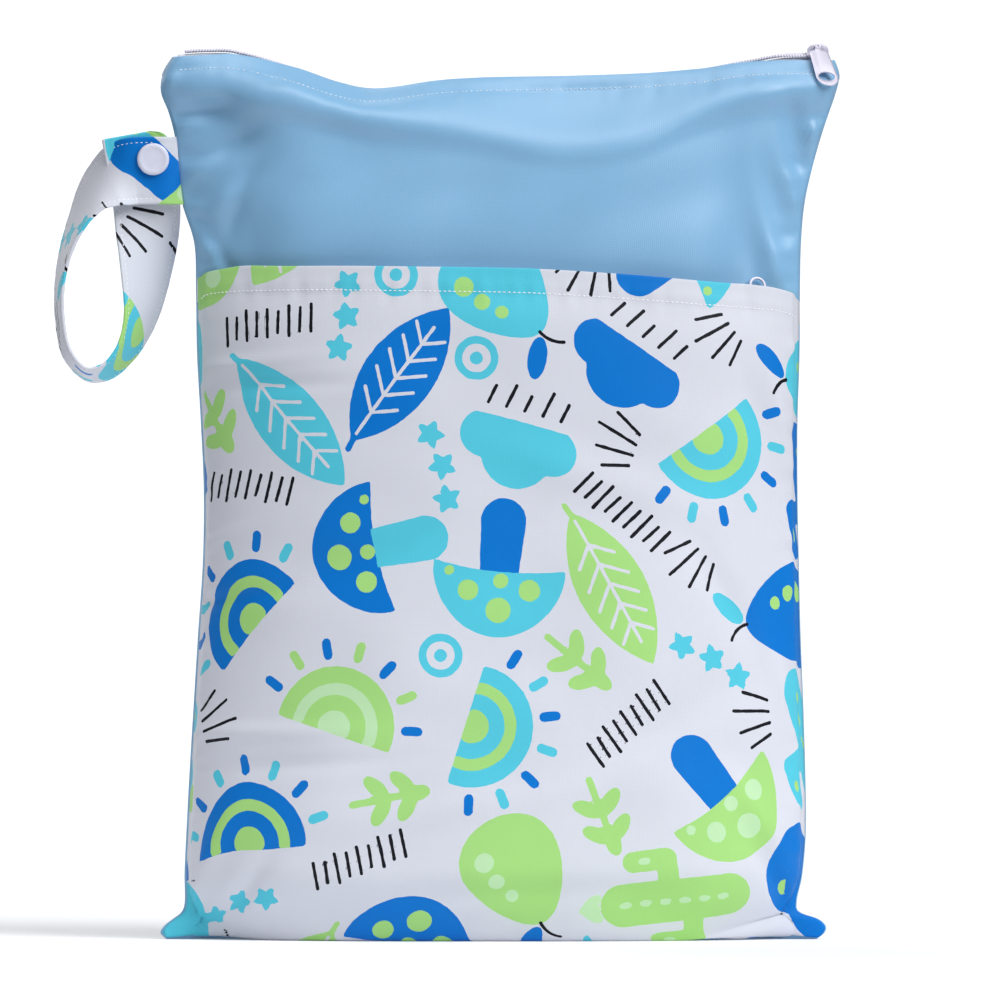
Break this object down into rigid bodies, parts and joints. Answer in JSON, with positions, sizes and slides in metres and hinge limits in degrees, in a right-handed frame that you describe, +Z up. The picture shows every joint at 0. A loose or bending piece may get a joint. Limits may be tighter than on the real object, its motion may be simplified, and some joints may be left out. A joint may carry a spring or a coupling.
{
  "type": "wet bag",
  "caption": "Soft standing bag with a zipped main compartment, a zipped front pocket and a short strap that snaps into a loop at one side seam.",
  "frame": {"origin": "middle of the bag's bottom, on the plane it stands on, halfway between the widest points of its sides and close under the side seams", "axes": "+Z up from the bottom to the top zip, +X to the right as seen from the front, +Y from the front pocket to the back panel"},
  "size_m": [0.3484, 0.0944, 0.3967],
  "materials": {
    "blue_cloth": "satin laminated knit, light blue",
    "printed_cloth": "satin laminated knit, pale ground with a print in blue, cyan, green and black",
    "zip_tape": "woven white",
    "zip_resin": "white painted",
    "snap_resin": "satin lilac white"
  },
  "bodies": {
    "bag": {"front_panel": "blue_cloth", "back_panel": "printed_cloth", "pocket_panel": "printed_cloth", "strap": "printed_cloth", "top_zip_coil": "zip_tape", "top_zip_tape_front": "zip_tape", "top_zip_tape_back": "zip_tape", "top_zip_slider": "zip_resin", "pocket_zip_coil": "zip_tape", "pocket_zip_tape_upper": "zip_tape", "pocket_zip_tape_lower": "zip_tape", "pocket_zip_slider": "zip_resin", "snap_cap": "snap_resin", "snap_socket": "snap_resin", "snap_stud": "snap_resin", "snap_back_cap": "snap_resin"},
    "top_pull": {"top_zip_pull": "zip_resin"},
    "pocket_pull": {"pocket_zip_pull": "zip_resin"}
  },
  "joints": [
    {"name": "top_pull_swing", "type": "hinge", "parent": "bag", "child": "top_pull", "pos_m": [0.14079, -0.00241, 0.39499], "axis": [-1, 0, 0], "range_deg": [0, 200]},
    {"name": "pocket_pull_tilt", "type": "hinge", "parent": "bag", "child": "pocket_pull", "pos_m": [0.11434, -0.01955, 0.27356], "axis": [0.9339, 0.3501, -0.0721], "range_deg": [0, 8]}
  ]
}
